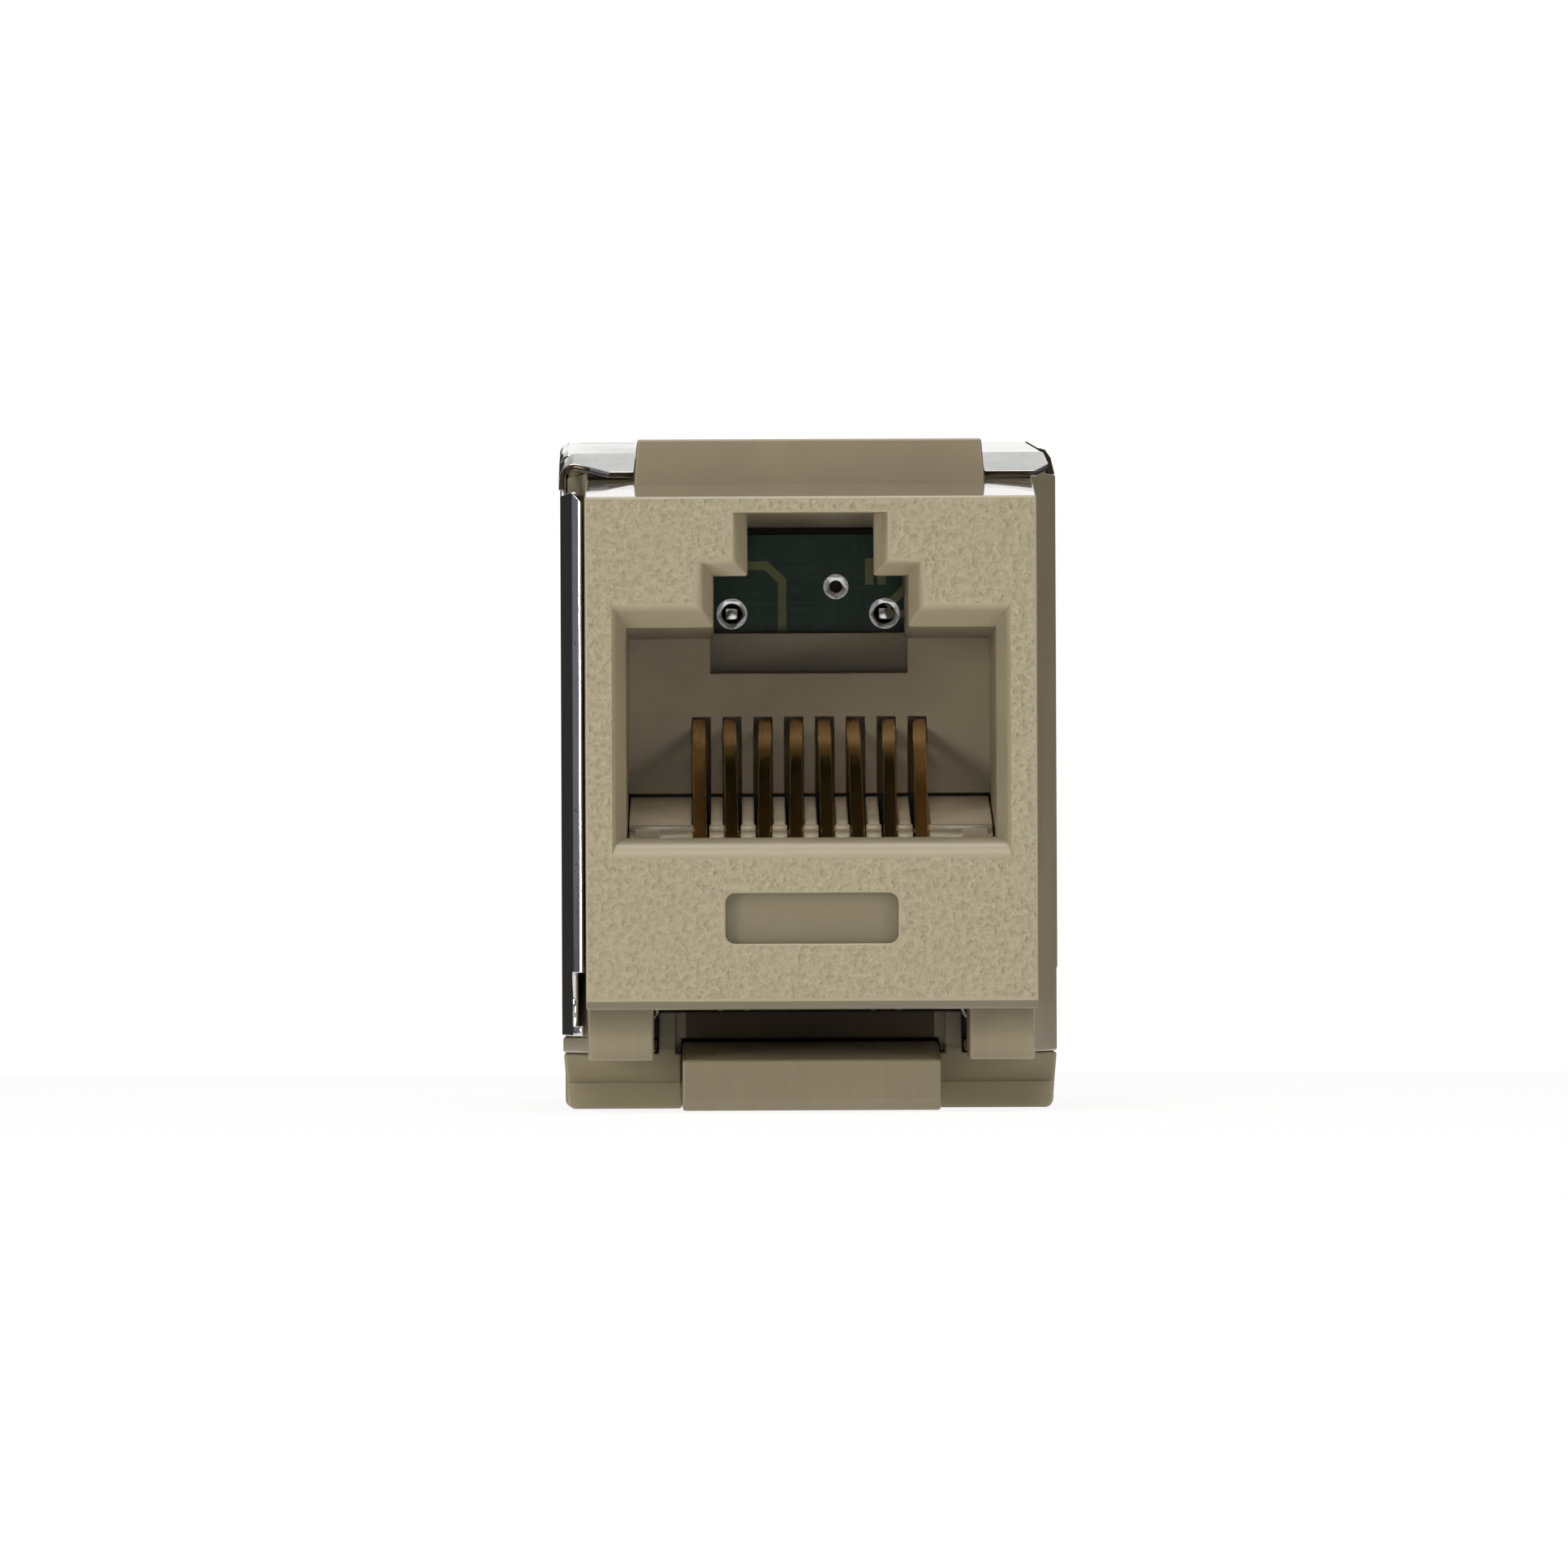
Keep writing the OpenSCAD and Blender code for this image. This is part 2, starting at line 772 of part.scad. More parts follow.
// Section of the flat part: the side plate, the left corner a step lower, the top and the right corner
module flat_section() {
    strip(concat(
        [[plate_x, plate_bottom]],
        corner_points(flat_r, sheet_top - flat_step),
        [[flat_step_x, sheet_top - flat_step], [flat_step_x + flat_step, sheet_top]],
        lip_line
    ));
}

// Section of the bent front: a short wall at the left, the corner rolled at a radius, the top
module ear_section(r) {
    strip(concat([[plate_x, sheet_top - ear_wall]], corner_points(r, sheet_top), [[lip_x, sheet_top]]));
}

// Outline of both ears from above, open towards the front and towards the flat part
module ear_outline() {
    polygon(concat(
        [[plate_x - past, groove_end + past], [plate_x - past, ear_left[0].y]],
        ear_left,
        ear_right,
        [[ear_right[3].x, groove_end + past]]
    ));
}

// The leaf of the side plate, which slants inwards and ends in a round front edge
module leaf() {
    cut_y = leaf_notch_y - 2 * past;
    difference() {
        tall(plate_bottom, leaf_top)
            strip(concat(
                [for (a = [75 : -11.5 : 6]) leaf_roll - leaf_roll_r * [cos(a), sin(a)]],
                [[plate_x, plate_front], [plate_x, groove_end + lap]]
            ));
        block(2 * past, cut_y, leaf_notch_y, leaf_notch_z, leaf_notch_z + leaf_notch_h, leaf_roll.x);
        deep(cut_y, leaf_notch_y)
            translate([leaf_cut_x, leaf_top])
                polygon([[-past, past], [past, -past], [past, past]]);
    }
}

module shield_wrap() {
    color(nickel) {
        deep(groove_end, sheet_end)
            flat_section();
        difference() {
            intersection() {
                union() {
                    bent_run(groove_end + lap, sheet_top, ear_tilt_rear, ear_fold_y - lap)
                        ear_section((flat_r + roll_r) / 2);
                    bent_run(ear_fold_y, ear_fold_z, ear_tilt_front, ear_y)
                        ear_section(roll_r);
                }
                tall(0, sheet_top)
                    ear_outline();
            }
            deep(0, groove_end)
                lug_outline(sheet_top + past, ear_gap);
        }
        leaf();
    }
}

front_housing();
contact_sled();
contact_comb();
plug_contact(1);  // plug_contact_1
plug_contact(2);  // plug_contact_2
plug_contact(3);  // plug_contact_3
plug_contact(4);  // plug_contact_4
plug_contact(5);  // plug_contact_5
plug_contact(6);  // plug_contact_6
plug_contact(7);  // plug_contact_7
plug_contact(8);  // plug_contact_8
circuit_board();
hole_barrels();
idc_contact(1);  // idc_contact_1
idc_contact(2);  // idc_contact_2
idc_contact(3);  // idc_contact_3
idc_contact(4);  // idc_contact_4
idc_contact(5);  // idc_contact_5
idc_contact(6);  // idc_contact_6
idc_contact(7);  // idc_contact_7
idc_contact(8);  // idc_contact_8
rear_housing();
wire_cap();
shield_wrap();
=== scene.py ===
import math

import bmesh
import bpy
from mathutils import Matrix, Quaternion, Vector
from mathutils.bvhtree import BVHTree


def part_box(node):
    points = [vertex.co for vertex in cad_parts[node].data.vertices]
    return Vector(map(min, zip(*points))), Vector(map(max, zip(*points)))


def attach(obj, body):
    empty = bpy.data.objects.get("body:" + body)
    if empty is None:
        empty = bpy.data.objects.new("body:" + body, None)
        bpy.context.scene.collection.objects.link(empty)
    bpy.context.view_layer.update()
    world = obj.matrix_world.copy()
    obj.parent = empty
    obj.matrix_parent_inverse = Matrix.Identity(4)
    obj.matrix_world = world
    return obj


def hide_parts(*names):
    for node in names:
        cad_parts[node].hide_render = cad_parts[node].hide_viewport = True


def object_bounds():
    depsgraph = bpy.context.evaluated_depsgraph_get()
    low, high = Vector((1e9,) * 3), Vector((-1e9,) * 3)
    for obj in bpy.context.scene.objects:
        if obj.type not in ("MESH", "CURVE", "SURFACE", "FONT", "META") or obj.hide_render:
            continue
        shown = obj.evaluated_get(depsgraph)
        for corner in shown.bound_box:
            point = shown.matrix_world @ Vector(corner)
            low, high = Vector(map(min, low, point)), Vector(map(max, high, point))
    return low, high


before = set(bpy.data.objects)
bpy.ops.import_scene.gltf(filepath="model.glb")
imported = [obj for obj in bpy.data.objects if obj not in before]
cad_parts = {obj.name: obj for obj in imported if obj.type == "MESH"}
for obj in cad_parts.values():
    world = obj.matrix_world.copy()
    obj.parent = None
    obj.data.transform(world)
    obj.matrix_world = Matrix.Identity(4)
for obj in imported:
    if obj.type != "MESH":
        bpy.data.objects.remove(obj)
cad_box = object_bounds()

# Circuit board
# A glass fibre board under dark green lacquer, which stands upright behind the port and carries both rows
# of contacts. Its etched copper tracks show through the lacquer as low olive ridges.
MM = 0.001
ROOT = "root"
BOARD_GREEN = (0.005, 0.031, 0.011, 1)
BOARD_GREEN_PALE = (0.008, 0.043, 0.017, 1)
BOARD_EDGE = 0.03 * MM


class Tone:
    """A shader socket that Python expressions can add, scale and compare."""

    def __init__(self, tree, socket=None):
        self.tree = tree
        self.socket = socket

    def node(self, kind, settings, inputs, output=0):
        """One node of a type, with its settings made first and its sockets filled after them."""
        made = self.tree.nodes.new(kind)
        for name, value in settings.items():
            setattr(made, name, value)
        for name, value in inputs.items():
            if isinstance(value, Tone):
                self.tree.links.new(value.socket, made.inputs[name])
            else:
                made.inputs[name].default_value = value
        return Tone(self.tree, made.outputs[output])

    def maths(self, operation, first, second=0.0):
        return self.node("ShaderNodeMath", {"operation": operation}, {0: first, 1: second})

    def __add__(self, other):
        return self.maths("ADD", self, other)

    __radd__ = __add__

    def __sub__(self, other):
        return self.maths("SUBTRACT", self, other)

    def __rsub__(self, other):
        return self.maths("SUBTRACT", other, self)

    def __mul__(self, other):
        return self.maths("MULTIPLY", self, other)

    __rmul__ = __mul__

    def __abs__(self):
        return self.maths("ABSOLUTE", self)

    def __lt__(self, other):
        return self.maths("LESS_THAN", self, other)

    def __gt__(self, other):
        return self.maths("GREATER_THAN", self, other)

    def __or__(self, other):
        return self.maths("MAXIMUM", self, other)

    def within(self, start, end):
        """1 between two values and 0 outside them."""
        return (self > start) * (self < end)

    def ease(self, start, end):
        """0 up to start, 1 from end on, with a soft step between them."""
        soft = {"interpolation_type": "SMOOTHSTEP"}
        return self.node("ShaderNodeMapRange", soft, {"Value": self, "From Min": start, "From Max": end})

    def blend(self, first, second):
        """From the first colour to the second as this value goes from 0 to 1."""
        return self.node("ShaderNodeMix", {"data_type": "RGBA"}, {0: self, 6: first, 7: second}, 2)


class Finish:
    """A material being made: its place on the object in millimetres, and its shader's sockets."""

    def __init__(self, name, **fixed):
        self.material = bpy.data.materials.new(name)
        self.material.use_nodes = True
        self.tree = self.material.node_tree
        self.shader = self.tree.nodes["Principled BSDF"]
        for socket, value in fixed.items():
            self.shader.inputs[socket.replace("_", " ")].default_value = value
        start = Tone(self.tree)
        metres = start.node("ShaderNodeTexCoord", {}, {}, "Object")
        scaled = {"operation": "SCALE"}
        self.place = start.node("ShaderNodeVectorMath", scaled, {0: metres, "Scale": 1 / MM})
        self.x, self.y, self.z = (self.along(self.place, axis) for axis in "XYZ")

    def along(self, vector, axis):
        """One part of a vector."""
        return vector.node("ShaderNodeSeparateXYZ", {}, {0: vector}, axis)

    def facing(self, axis):
        """How much the surface faces along an axis, from -1 to 1."""
        return self.along(self.place.node("ShaderNodeNewGeometry", {}, {}, "Normal"), axis)

    def stretched(self, x, y, z):
        """The place on the object, drawn out along an axis by a small factor there."""
        factors = {"operation": "MULTIPLY"}
        return self.place.node("ShaderNodeVectorMath", factors, {0: self.place, 1: (x, y, z)})

    def noise(self, per_mm, detail=2.0, rough=0.5, place=None):
        inputs = {"Vector": place or self.place, "Scale": per_mm, "Detail": detail, "Roughness": rough}
        return self.place.node("ShaderNodeTexNoise", {}, inputs)

    def relief(self, height, depth):
        """A Bump node on a height from 0 to 1 that stands for that depth in millimetres."""
        return height.node("ShaderNodeBump", {}, {"Height": height, "Distance": depth * MM}, "Normal")

    def feed(self, **sockets):
        for socket, value in sockets.items():
            self.tree.links.new(value.socket, self.shader.inputs[socket.replace("_", " ")])
        return self.material


WELD = 0.0005 * MM
FLAT = math.radians(0.5)
CORNER = math.radians(25)
ROOM = 2.4
ASTRAY = 0.6


def reach_across(face, edge):
    """How far a face reaches from one of its edges, square to that edge."""
    start = edge.verts[0].co
    along = (edge.verts[1].co - start).normalized()
    return max(((v.co - start) - along * (v.co - start).dot(along)).length for v in face.verts)


def solid_of(node):
    """A node's mesh, with the flat faces whole again."""
    mesh = bmesh.new()
    mesh.from_mesh(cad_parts[node].data)
    bmesh.ops.remove_doubles(mesh, verts=mesh.verts[:], dist=WELD)
    bmesh.ops.dissolve_limit(mesh, angle_limit=FLAT, verts=mesh.verts[:], edges=mesh.edges[:])
    return mesh


def sharp_edges(mesh):
    return [e for e in mesh.edges if e.is_manifold and e.calc_face_angle() > CORNER]


def rounded(mesh, edges, radius, steps):
    """Rounds edges of a mesh, and lays back on the solid what the rounding throws out at a corner."""
    solid = BVHTree.FromBMesh(mesh)
    bmesh.ops.bevel(mesh, geom=edges, offset=radius, offset_type="OFFSET", segments=steps, profile=0.5,
                    affect="EDGES", clamp_overlap=False)
    for v in mesh.verts:
        place, _, _, off = solid.find_nearest(v.co)
        if off > ASTRAY * radius:
            v.co = place
    bmesh.ops.dissolve_degenerate(mesh, dist=WELD, edges=mesh.edges[:])


def softened(mesh, radius, steps=2):
    """Rounds the sharp outer edges of a mesh, wherever the faces beside them leave room for it."""
    sharp = sharp_edges(mesh)
    outer = [e for e in sharp if e.is_convex]
    roomy = [e for e in outer if min(reach_across(f, e) for f in e.link_faces) > ROOM * radius]
    for face in mesh.faces:
        face.smooth = True
    for e in sharp:
        e.smooth = False
    for e in roomy:
        e.smooth = True
    rounded(mesh, roomy, radius, steps)
    return mesh


def dress(node, name, mesh, material):
    """Puts a finished mesh in the place of its node."""
    data = bpy.data.meshes.new(name)
    mesh.to_mesh(data)
    mesh.free()
    data.materials.append(material)
    piece = bpy.data.objects.new(name, data)
    bpy.context.collection.objects.link(piece)
    even = piece.modifiers.new("even_light", "WEIGHTED_NORMAL")
    even.keep_sharp = True
    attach(piece, ROOT)
    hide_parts(node)
    return piece


def lacquer(name, deep, pale):
    finish = Finish(name, IOR=1.45)
    mottle = finish.noise(0.9, 3.0)
    weave = finish.noise(1.0, 0.0, place=finish.stretched(5.0, 1.0, 0.6))
    weave = weave | finish.noise(1.0, 0.0, place=finish.stretched(0.6, 1.0, 5.0))
    shade = (0.7 * mottle + 0.3 * weave).ease(0.35, 0.7).blend(deep, pale)
    return finish.feed(Base_Color=shade, Roughness=0.18 + 0.10 * mottle, Normal=finish.relief(weave, 0.004))


board = softened(solid_of("circuit_board"), BOARD_EDGE, 1)
board_green = lacquer("board_green", BOARD_GREEN, BOARD_GREEN_PALE)
dress("circuit_board", "lacquered_board", board, board_green)

TRACK_OLIVE = (0.150, 0.158, 0.056, 1)
TRACK_OLIVE_PALE = (0.180, 0.190, 0.070, 1)
TRACK_W = 0.28 * MM
TRACK_T = 0.02 * MM
TRACKS = (
    ((-4.6, 6.24), (-1.4, 6.24), (-0.86, 5.74), (-0.86, 3.2)),
    ((2.03, 6.47), (2.03, 5.59)),
    ((2.44, 6.40), (2.44, 5.59)),
    ((2.60, 4.87), (3.26, 5.50), (3.26, 6.80)),
    ((2.60, 4.62), (4.40, 4.62)),
)


def ribbon(mesh, points, width, low, high):
    """A flat strip along points given across and up the board, from one depth to another."""
    run = [Vector(p) * MM for p in points]
    sides = []
    for i, here in enumerate(run):
        before = (here - run[i - 1]).normalized() if i else (run[1] - here).normalized()
        after = (run[i + 1] - here).normalized() if i + 1 < len(run) else before
        mean = (before + after).normalized()
        out = Vector((-mean.y, mean.x)) * (width / 2 / mean.dot(before))
        pair = (here + out, here - out)
        sides.append([mesh.verts.new((p.x, depth, p.y)) for depth in (low, high) for p in pair])
    for (a, b, c, d), (e, f, g, h) in zip(sides, sides[1:]):
        for corners in ((a, b, f, e), (c, g, h, d), (a, e, g, c), (b, d, h, f)):
            mesh.faces.new(corners)
    for end in (sides[0], sides[-1]):
        mesh.faces.new((end[0], end[1], end[3], end[2]))
    bmesh.ops.recalc_face_normals(mesh, faces=mesh.faces[:])


board_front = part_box("circuit_board")[0].y
track_mesh = bmesh.new()
for track in TRACKS:
    ribbon(track_mesh, track, TRACK_W, board_front - TRACK_T, board_front + TRACK_T)
track_data = bpy.data.meshes.new("board_tracks")
track_mesh.to_mesh(track_data)
track_mesh.free()
track_data.materials.append(lacquer("track_green", TRACK_OLIVE, TRACK_OLIVE_PALE))
tracks = bpy.data.objects.new("board_tracks", track_data)
bpy.context.collection.objects.link(tracks)
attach(tracks, ROOT)

# Plated holes
# Every hole in the board is lined with a copper barrel whose rings stand on both faces, tinned all over.
# The solder has drawn up into a bright rounded rim.
TIN = (0.80, 0.79, 0.76, 1)
TIN_DULL = (0.62, 0.61, 0.58, 1)
TIN_ROUGHNESS = 0.2
RING_EDGE = 0.03 * MM


def bright_metal(name, colour, dull, roughness):
    """Plated metal, a little cloudy, with fine specks in its gloss."""
    finish = Finish(name, Metallic=1.0)
    cloud = finish.noise(1.6, 3.0)
    speck = finish.noise(14.0, 2.0)
    shade = cloud.ease(0.35, 0.75).blend(colour, dull)
    gloss = roughness * (0.7 + 0.4 * cloud + 0.3 * speck)
    return finish.feed(Base_Color=shade, Roughness=gloss, Normal=finish.relief(speck, 0.002))


tin = bright_metal("tin_plating", TIN, TIN_DULL, TIN_ROUGHNESS)
dress("hole_barrels", "tinned_rings", softened(solid_of("hole_barrels"), RING_EDGE), tin)

# Insulation displacement contacts
# Eight forked blades of tinned bronze stand behind the board and cut into the wires. Their square pins come
# through the plated holes from behind.
POSITIONS = range(1, 9)
BLADE_EDGE = 0.04 * MM
for position in POSITIONS:
    node = f"idc_contact_{position}"
    dress(node, f"wire_blade_{position}", softened(solid_of(node), BLADE_EDGE), tin)

# Plug contacts
# Eight flat springs of phosphor bronze with a hard gold plating, each bent from one strip. Their edges are
# coined round, and each leans a little its own way in its slot.
GOLD = (0.90, 0.58, 0.27, 1)
GOLD_DEEP = (0.72, 0.42, 0.15, 1)
GOLD_PAINTED_SHADE = (0.50, 0.34, 0.14, 1)
STRIP_EDGE = 0.055 * MM
STRIP_STEPS = 3
ROOT_SHIFTS = (-0.03, -0.03, 0.01, 0.02, 0.03, 0.01, 0.03, 0.03)
TIP_SHIFTS = (-0.080, -0.080, 0.065, 0.080, -0.020, -0.075, 0.080, 0.072)
LEAN_LOW = -3.0 * MM
LEAN_HIGH = 1.0 * MM
TIP_LOW = 0.0
TIP_HIGH = 0.5
MIDDLE_SIX = 3.05


def gilding():
    """Polished gold with fine marks along the strip, set duller at the tips, with painted shade below the
    tips on the middle six.
    """
    finish = Finish("gilt_contact")
    drawn = finish.noise(6.0, 3.0, place=finish.stretched(6.0, 0.25, 0.25))
    cloud = finish.noise(0.8, 2.0)
    tip = finish.z.ease(TIP_LOW, TIP_HIGH)
    # Painted shade: the middle six springs are set browner below their tips.
    painted_shade_mask = (1 - tip) * (abs(finish.x) < MIDDLE_SIX)
    shade = (0.6 * drawn + 0.4 * cloud).ease(0.3, 0.75).blend(GOLD, GOLD_DEEP)
    shade = painted_shade_mask.blend(shade, GOLD_PAINTED_SHADE)
    gloss = 0.10 + 0.12 * drawn + 0.1 * tip
    marks = finish.relief(drawn, 0.003)
    return finish.feed(Base_Color=shade, Metallic=1 - 0.5 * tip, Roughness=gloss, Normal=marks)


gold = gilding()
for position, root_shift, tip_shift in zip(POSITIONS, ROOT_SHIFTS, TIP_SHIFTS):
    node = f"plug_contact_{position}"
    strip = softened(solid_of(node), STRIP_EDGE, STRIP_STEPS)
    for v in strip.verts:
        rise = min(max((v.co.z - LEAN_LOW) / (LEAN_HIGH - LEAN_LOW), 0), 1)
        v.co.x += (root_shift + (tip_shift - root_shift) * rise) * MM
    dress(node, f"spring_contact_{position}", strip, gold)

# Contact sled and comb
# Two smooth almond mouldings. The sled lies under the springs with a rounded rib between each two of them,
# and the comb behind it keeps their ends apart in eight slots. The sled's slope is painted pale, a painted
# light that brings it near the photograph's tone where little light reaches it; its front step stays darker.
SLED_PAINTED_LIGHT = (0.86, 0.73, 0.54, 1)
SLED_PAINTED_LIGHT_PALE = (0.90, 0.77, 0.57, 1)
STEP_BEIGE = (0.28, 0.228, 0.152, 1)
COMB_ALMOND = (0.28, 0.233, 0.15, 1)
COMB_ALMOND_PALE = (0.31, 0.258, 0.166, 1)
SLED_STEP = 3.3
INSERT_EDGE = 0.05 * MM


def polished_plastic(name, colour, pale, front):
    """Smooth plastic with faint clouds, and a colour of its own on the step foremost in the port, behind
    which the sled's colours are painted light.
    """
    finish = Finish(name, IOR=1.5)
    cloud = finish.noise(0.5, 3.0)
    grain = finish.noise(20.0, 2.0)
    # On the sled the slope's colours are painted light: they are set paler than the step in front of it.
    shade = (finish.y < SLED_STEP).blend(cloud.ease(0.3, 0.7).blend(colour, pale), front)
    return finish.feed(Base_Color=shade, Roughness=0.16 + 0.14 * cloud, Normal=finish.relief(grain, 0.002))


sled = softened(solid_of("contact_sled"), INSERT_EDGE)
sled_beige = polished_plastic("sled_plastic", SLED_PAINTED_LIGHT, SLED_PAINTED_LIGHT_PALE, STEP_BEIGE)
dress("contact_sled", "spring_sled", sled, sled_beige)
comb = softened(solid_of("contact_comb"), INSERT_EDGE)
comb_almond = polished_plastic("comb_plastic", COMB_ALMOND, COMB_ALMOND_PALE, COMB_ALMOND)
dress("contact_comb", "spring_comb", comb, comb_almond)

# Rear housing
# The rear moulding carries the wire towers and, in one piece with them, the flexible latch tongue under the
# front. It is almond plastic, smooth from the mould, with faint flow streaks and a few pale specks of dust.
SMOOTH_ALMOND = (0.212, 0.176, 0.110, 1)
SMOOTH_ALMOND_PALE = (0.240, 0.202, 0.126, 1)
FACE_ALMOND = (0.256, 0.216, 0.130, 1)
FACE_ALMOND_PALE = (0.320, 0.274, 0.173, 1)
DUST = (0.34, 0.30, 0.22, 1)
# Painted shade on the lip under the front, on the label pocket's floor and on the recess behind the tongue,
# and painted light on the tongue's top.
LABEL_PAINTED_SHADE = (0.182, 0.152, 0.093, 1)
LIP_PAINTED_SHADE = (0.132, 0.110, 0.068, 1)
TONGUE_TOP_PAINTED_LIGHT = (0.46, 0.39, 0.27, 1)
RECESS_PAINTED_SHADE = (0.092, 0.070, 0.041, 1)
GRAIN_DEPTH = 0.25
REAR_EDGE = 0.09 * MM

# Where the plastic's tone is fitted to the photograph's light, in millimetres and in how far a face turns.
FACE_DEPTH = 0.06
FACE_FACING = -0.998
FACE_FOOT = -8.12
LIP_FOOT = -8.42
LIP_DEPTH = 0.4
LABEL_TOP = -4.4
LABEL_FOOT = -6.6
LABEL_SIDE = 4.0
LABEL_DEPTH = 0.8
MOUTH_DEPTH = 0.25
MOUTH_FOOT = -4.3
NOSE_TOP = 7.9
TOP_FACING = 0.9
FEET_TOP = -8.35
SHELF_TOP = -9.75
SHELF_SIDE = 4.1
SHELF_DEPTH = 6.0
SHELF_END = 11.7
SHELF_FACING = -0.5
RECESS_DEPTH = 11.2
ARCH_LOW = 8.0
ARCH_SIDE = -7.3


def almond_plastic():
    """Almond plastic: satin, with the grain of a spark cut mould on the front and a polished nose, and
    painted light and shade on a few places.
    """
    finish = Finish("almond_plastic", IOR=1.5)
    x, y, z = finish.x, finish.y, finish.z
    to_front, to_top = finish.facing("Y"), finish.facing("Z")
    in_front = (y < FACE_DEPTH) * (z > FACE_FOOT)
    grained = in_front * (to_front < FACE_FACING)
    on_nose = (z > NOSE_TOP) * (to_top > TOP_FACING)
    mouth = (1 - y.ease(FACE_DEPTH, MOUTH_DEPTH)) * (z > MOUTH_FOOT)
    low_front = (z < FEET_TOP) * (y < SHELF_END)
    # Painted shade: the narrow lip under the grained front, which faces down, is set darker.
    painted_shade_lip = z.within(LIP_FOOT, FACE_FOOT) * (y < LIP_DEPTH)
    # Painted shade: the floor of the label pocket is set darker, as the shade inside the pocket.
    painted_shade_label = z.within(LABEL_FOOT, LABEL_TOP) * y.within(MOUTH_DEPTH, LABEL_DEPTH) * (abs(x) < LABEL_SIDE)
    # Painted light: the shelf below the feet takes the paler face colour.
    painted_light_shelf = y.within(SHELF_DEPTH, SHELF_END) * (z < SHELF_TOP) * (abs(x) > SHELF_SIDE)
    painted_light_shelf = painted_light_shelf * (to_front < SHELF_FACING)
    # Painted light: the collar arch under the shield's roll takes the paler face colour.
    painted_light_arch = (z > ARCH_LOW) * (x < ARCH_SIDE) * (y < SHELF_END)
    under = low_front * (abs(x) < SHELF_SIDE)
    # Painted light: the top of the latch tongue is set paler.
    painted_light_tongue = under * (to_top > TOP_FACING)
    # Painted shade: the wall deep behind the gap over the tongue is set dark brown.
    painted_shade_recess = under * (z > SHELF_TOP) * (y > RECESS_DEPTH)

    cloud = finish.noise(0.35, 3.0)
    dust = finish.noise(11.0, 1.0)
    streaks = low_front * finish.noise(3.0, 2.0, place=finish.stretched(2.0, 2.0, 0.15))
    grain = 0.8 * finish.noise(4.6, 1.0) + 0.2 * finish.noise(10.0, 1.0)
    smooth = (0.8 * cloud + 0.4 * streaks).ease(0.3, 0.7).blend(SMOOTH_ALMOND, SMOOTH_ALMOND_PALE)
    smooth = dust.ease(0.755, 0.79).blend(smooth, DUST)
    face = (0.5 + grained * (grain.ease(0.3, 0.7) - 0.5)).blend(FACE_ALMOND, FACE_ALMOND_PALE)
    shade = (in_front | mouth | painted_light_shelf | painted_light_arch).blend(smooth, face)
    # Painted light and shade laid over the rest, place by place.
    painted_light_and_shade = ((painted_shade_lip, LIP_PAINTED_SHADE), (painted_shade_label, LABEL_PAINTED_SHADE), (painted_light_tongue, TONGUE_TOP_PAINTED_LIGHT), (painted_shade_recess, RECESS_PAINTED_SHADE))
    for part, tone in painted_light_and_shade:
        shade = part.blend(shade, tone)
    gloss = 0.32 + 0.10 * cloud + 0.15 * grained + 0.5 * painted_shade_recess - 0.22 * on_nose
    height = grained * grain + (1 - grained) * (0.008 * streaks + 0.004 * dust)
    raised = finish.relief(height, GRAIN_DEPTH)
    return finish.feed(Base_Color=shade, Roughness=gloss, Coat_Weight=on_nose, Normal=raised)


almond = almond_plastic()
rear = softened(solid_of("rear_housing"), REAR_EDGE)
dress("rear_housing", "rear_moulding", rear, almond)

# Front housing
# One almond moulding with the port, the bare label pocket, the fixed lug above and the two feet below. It
# snaps over the board and meets the rear moulding at the collar.
FRONT_EDGE = 0.08 * MM
MOUTH_R = 0.24 * MM
MOUTH_STEPS = 4
MOUTH_SIDE = 6.7 * MM
MOUTH_NOTCH = 3.0 * MM


def at_mouth(edge):
    """Whether an edge in the front face is an upright one of the port, outside its narrow notch."""
    places = [v.co for v in edge.verts]
    upright = abs(places[0].x - places[1].x) < WELD and max(abs(p.y) for p in places) < WELD
    return upright and MOUTH_NOTCH < abs(places[0].x) < MOUTH_SIDE


front = solid_of("front_housing")
rounded(front, [e for e in sharp_edges(front) if at_mouth(e)], MOUTH_R, MOUTH_STEPS)
dress("front_housing", "front_moulding", softened(front, FRONT_EDGE), almond)

# Wire cap
# The cap that pushes the wires down into the blades, of the same plastic and pressed on over the towers. Its
# round inlet takes the cable.
CAP_EDGE = 0.12 * MM
dress("wire_cap", "rear_cap", softened(solid_of("wire_cap"), CAP_EDGE), almond)

# Shield
# One folded sheet of nickel plated brass over the top and down the left side. Its front edges are sprung
# inwards and its left top corner is rolled. Its cut edges are painted dark, a painted shade over the bare
# brass.
NICKEL = (0.76, 0.755, 0.75, 1)
NICKEL_DULL = (0.66, 0.655, 0.65, 1)
NICKEL_FLECK = (0.30, 0.28, 0.27, 1)
CUT_EDGE_PAINTED_SHADE = (0.07, 0.053, 0.036, 1)
SHEET_EDGE = 0.03 * MM
EAR_LOW = 8.5
LEAF_FOOT = -7.5
CUT_FACING = -0.8
BEND = math.radians(3)
BEND_R = 0.2 * MM
BEND_STEPS = 3
UPRIGHT = 0.99
CROSSWISE = 0.5


